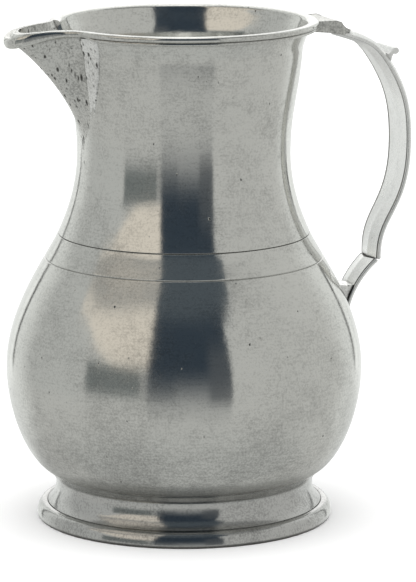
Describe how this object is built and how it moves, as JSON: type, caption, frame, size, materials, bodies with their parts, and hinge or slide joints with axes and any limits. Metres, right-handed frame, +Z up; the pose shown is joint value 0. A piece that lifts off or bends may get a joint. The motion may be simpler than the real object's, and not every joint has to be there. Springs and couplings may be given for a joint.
{
  "type": "pitcher",
  "caption": "Footed pewter water pitcher with a round belly, a flared neck, a beak spout and a strap handle with a thumb rest.",
  "frame": {"origin": "centre of the foot's underside, on the vessel's axis, where the pitcher stands", "axes": "+Z up along the vessel's axis, +X towards the handle, so the spout points to -X"},
  "size_m": [0.1916, 0.1602, 0.225],
  "materials": {
    "cast_pewter": "turned and worn pewter with fine lathe lines, small pits and soft reflections",
    "foot_pewter": "turned and worn pewter, smoother and darker in its reflections than the bowl",
    "solder": "filed solder, pitted along the spout's seams"
  },
  "bodies": {
    "root": {"foot_ring": "foot_pewter", "lower_bowl": "cast_pewter", "upper_bowl": "cast_pewter", "neck": "cast_pewter", "rim_moulding": "cast_pewter", "spout": "cast_pewter", "spout_lip": "cast_pewter", "handle_root": "cast_pewter", "handle_strap": "cast_pewter", "thumb_rest": "cast_pewter", "handle_strut": "cast_pewter", "foot_solder": "solder", "spout_solder": "solder", "root_solder": "solder", "strut_solder": "solder"}
  },
  "joints": []
}
